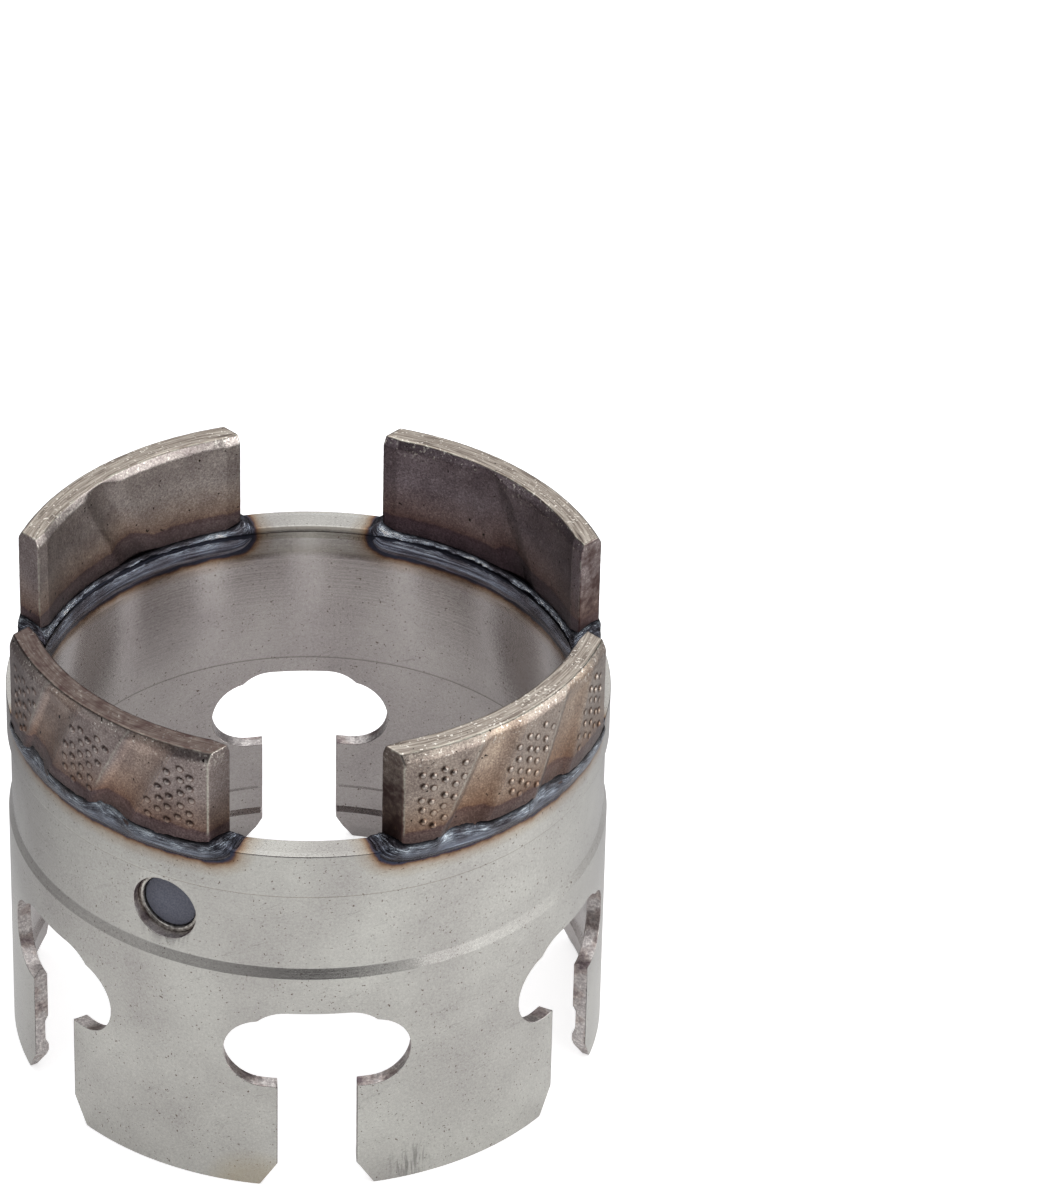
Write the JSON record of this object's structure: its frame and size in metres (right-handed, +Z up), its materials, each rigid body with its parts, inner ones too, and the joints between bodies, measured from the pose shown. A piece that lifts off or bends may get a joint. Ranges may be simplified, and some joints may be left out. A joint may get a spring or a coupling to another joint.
{
  "type": "core drill bit crown ring",
  "caption": "Steel ring with keyhole slots in its skirt, curved fluted diamond segments welded round its rim and a small round insert in its side",
  "frame": {"origin": "On the ring's axis, level with the foot of its skirt", "axes": "+Z runs up the drilling axis towards the cutting faces, -Y points through one keyhole, and +X is to the right when that keyhole faces the viewer"},
  "size_m": [0.0516, 0.0516, 0.0444],
  "materials": {
    "ring": "turned and satin",
    "segment": "sintered and heat tinted",
    "weld": "as welded",
    "insert_ring": "bright",
    "insert_disc": "matt"
  },
  "bodies": {
    "root": {"ring_body": "ring", "segment_1": "segment", "segment_2": "segment", "segment_3": "segment", "segment_4": "segment", "weld_seam_1": "weld", "weld_seam_2": "weld", "weld_seam_3": "weld", "weld_seam_4": "weld", "insert_ring": "insert_ring", "insert_disc": "insert_disc"}
  },
  "joints": []
}
